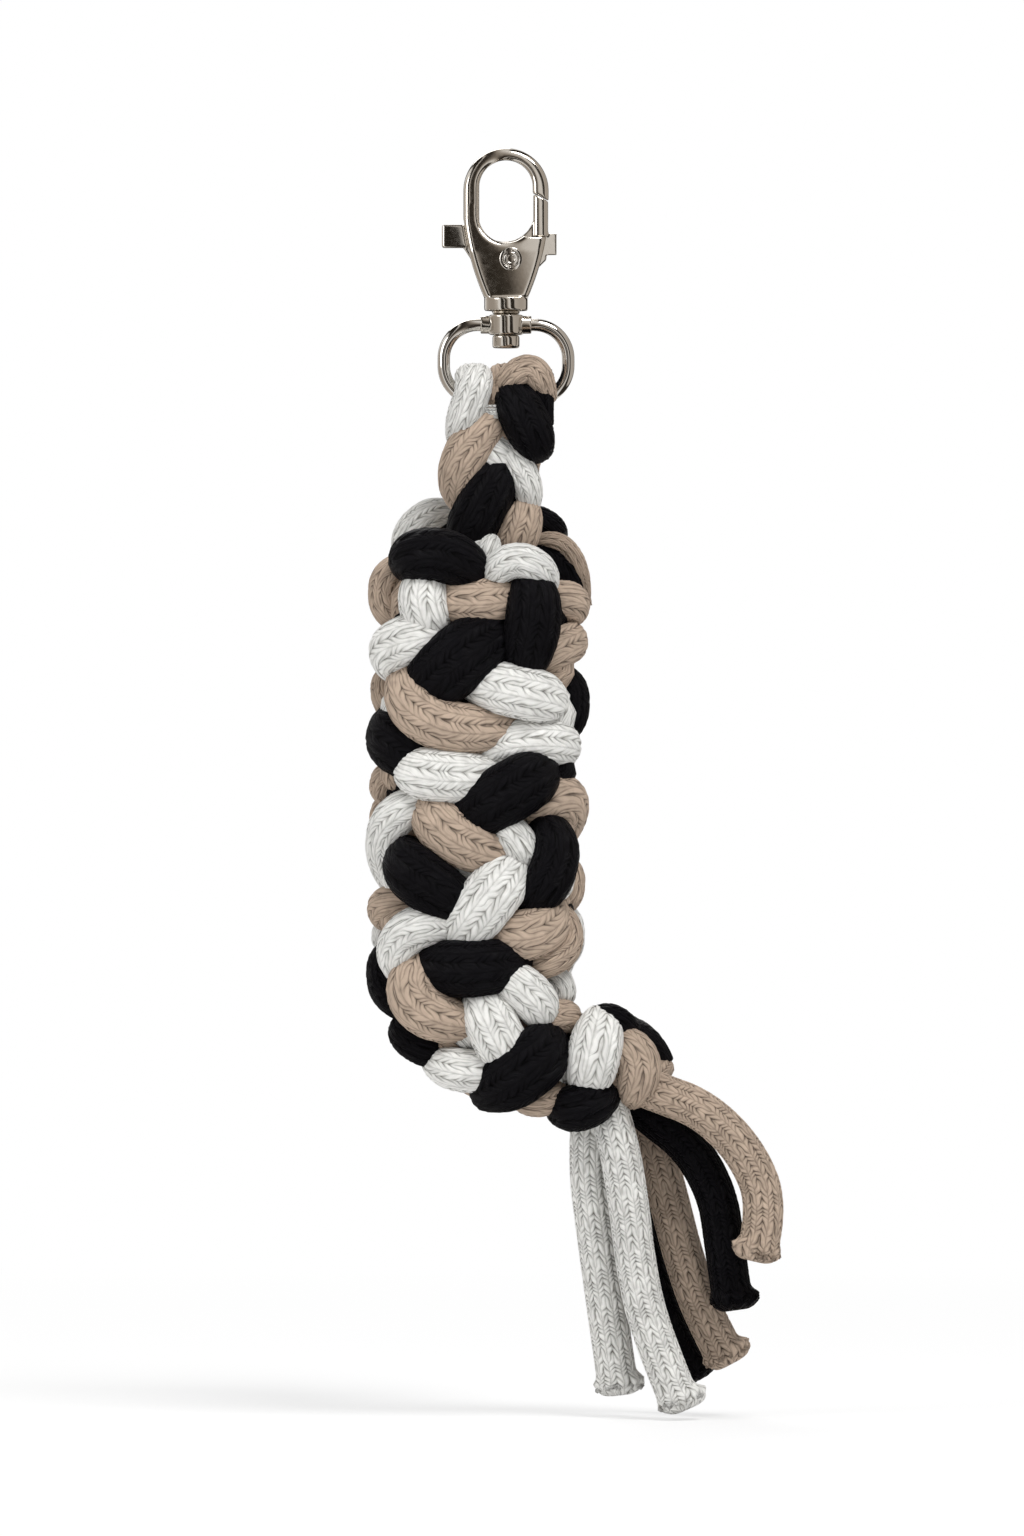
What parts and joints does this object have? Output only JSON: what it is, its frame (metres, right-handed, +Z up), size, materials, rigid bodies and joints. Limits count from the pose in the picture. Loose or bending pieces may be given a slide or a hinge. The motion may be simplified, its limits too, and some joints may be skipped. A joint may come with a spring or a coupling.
{
  "type": "plaited lead rope with swivel trigger snap",
  "caption": "Plaited three-colour lead rope folded into an upright hank, hung from a swivel trigger snap, ending in a knot and loose cords.",
  "frame": {"origin": "top of the hook's opening, where it hangs, on the swivel axis", "axes": "+Z up along the swivel axis, +X to the gate's side, -Y towards the rivet's stepped head"},
  "size_m": [0.1132, 0.0808, 0.3557],
  "materials": {
    "cast_nickel": "zinc casting, bright nickel plate",
    "rivet_nickel": "nickel plated steel rivet",
    "spring_steel": "drawn spring wire",
    "wire_nickel": "nickel plated bent steel wire",
    "cord_white": "braided polyester cord, off-white",
    "cord_taupe": "braided polyester cord, taupe",
    "cord_black": "braided polyester cord, black",
    "rope_plait": "plait of the three braided cords",
    "whipping_thread": "fine polyester thread"
  },
  "bodies": {
    "snap": {"snap_body": "cast_nickel", "gate_rivet": "rivet_nickel", "gate_spring": "spring_steel"},
    "gate": {"gate_lever": "cast_nickel"},
    "eye": {"swivel_collar": "cast_nickel", "eye_bow": "wire_nickel"},
    "rope": {"white_cord_fold": "cord_white", "taupe_cord_fold": "cord_taupe", "black_cord_fold": "cord_black", "throat_whipping": "whipping_thread", "rope_hank": "rope_plait", "end_knot": "rope_plait", "taupe_tail_outer": "cord_taupe", "black_tail_outer": "cord_black", "taupe_tail_inner": "cord_taupe", "black_tail_inner": "cord_black", "white_tail_front": "cord_white", "white_tail_back": "cord_white"}
  },
  "joints": [
    {"name": "gate_trigger", "type": "hinge", "parent": "snap", "child": "gate", "pos_m": [0.0014, 0, -0.0279], "axis": [0, -1, 0], "range_deg": [0, 24], "stiffness_Nm_per_rad": 0.12, "springref_deg": -28.65},
    {"name": "swivel", "type": "hinge", "parent": "snap", "child": "eye", "pos_m": [0, 0, -0.04625], "axis": [0, 0, 1], "continuous": true},
    {"name": "rope_swing", "type": "hinge", "parent": "eye", "child": "rope", "pos_m": [0, 0, -0.06725], "axis": [1, 0, 0], "range_deg": [-75, 75]}
  ]
}
